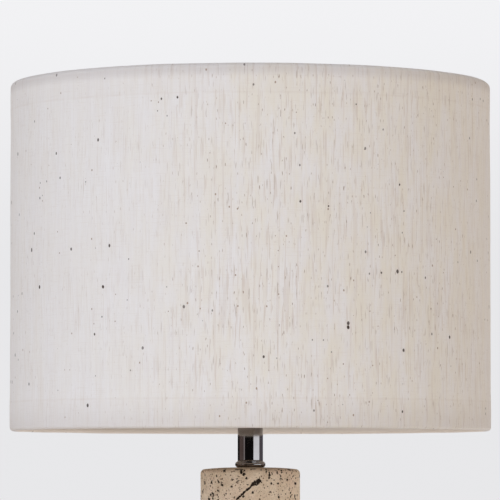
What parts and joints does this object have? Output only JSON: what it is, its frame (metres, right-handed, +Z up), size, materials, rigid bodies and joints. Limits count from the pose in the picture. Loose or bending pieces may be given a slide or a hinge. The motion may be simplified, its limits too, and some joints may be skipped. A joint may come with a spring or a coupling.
{
  "type": "table lamp",
  "caption": "Table lamp: linen drum shade on a wire spider, screw lampholder with an LED bulb, polished neck tube, and a round speckled stone column on a wider round foot.",
  "frame": {"origin": "centre of the foot's underside, on the surface that the lamp stands on", "axes": "+Z up along the lamp's axis; +Y to the rear, where the cable gland is; the front looks towards -Y"},
  "size_m": [0.304, 0.304, 0.5],
  "materials": {
    "cast_stone": "matte, beige with dark brown and black chips and small pits",
    "felt": "matte grey felt",
    "black_plastic": "satin moulded black",
    "white_plastic": "satin moulded white",
    "zinc_steel": "zinc plated, dull",
    "dark_chrome": "polished, slightly smoked",
    "brass": "plain, pressed",
    "nickel": "nickel plated, satin",
    "dark_glass": "black-violet, glossy",
    "board_aluminium": "white coated",
    "circuit_board": "green laminate",
    "frosted_diffuser": "frosted, opal",
    "white_enamel": "smooth white powder coat",
    "liner_sheet": "warm white translucent sheet",
    "linen": "natural linen weave with brown slubs and seed flecks"
  },
  "bodies": {
    "stand": {"foot_pad": "felt", "base_foot": "cast_stone", "base_column": "cast_stone", "cable_gland": "black_plastic", "bottom_washer": "zinc_steel", "bottom_lock_washer": "zinc_steel", "bottom_nut": "zinc_steel", "threaded_tube": "zinc_steel", "neck_collar": "dark_chrome", "neck_tube": "dark_chrome", "holder_cap": "black_plastic", "holder_lock_screw": "zinc_steel", "holder_insert": "white_plastic", "terminal_screw_1": "brass", "terminal_screw_2": "brass", "centre_contact": "brass", "screw_shell": "brass", "holder_skirt": "black_plastic", "lower_shade_ring": "black_plastic"},
    "shade": {"fitter_ring": "white_enamel", "fitter_arm_1": "white_enamel", "fitter_arm_2": "white_enamel", "fitter_arm_3": "white_enamel", "bottom_wire_ring": "white_enamel", "top_wire_ring": "white_enamel", "shade_liner": "liner_sheet", "linen_cover": "linen"},
    "upper_ring": {"upper_shade_ring": "black_plastic"},
    "bulb_carrier": {"bulb_contact": "nickel"},
    "bulb": {"bulb_insulator": "dark_glass", "bulb_cap": "nickel", "bulb_body": "white_plastic", "led_board": "board_aluminium", "driver_board": "circuit_board", "bulb_diffuser": "frosted_diffuser"}
  },
  "joints": [
    {"name": "shade_turn", "type": "hinge", "parent": "stand", "child": "shade", "pos_m": [0, 0, 0.317], "axis": [0, 0, 1], "continuous": true},
    {"name": "upper_ring_turn", "type": "hinge", "parent": "stand", "child": "upper_ring", "pos_m": [0, 0, 0.3208], "axis": [0, 0, 1], "range_deg": [0, 720]},
    {"name": "bulb_travel", "type": "slide", "parent": "stand", "child": "bulb_carrier", "axis": [0, 0, 1], "range_m": [0, 0.01452]},
    {"name": "bulb_turn", "type": "hinge", "parent": "bulb_carrier", "child": "bulb", "pos_m": [0, 0, 0.345], "axis": [0, 0, 1], "range_deg": [0, 1440]}
  ],
  "couplings": [
    {"joint": "bulb_travel", "follows": "bulb_turn", "m_per_rad": 0.00057757}
  ]
}
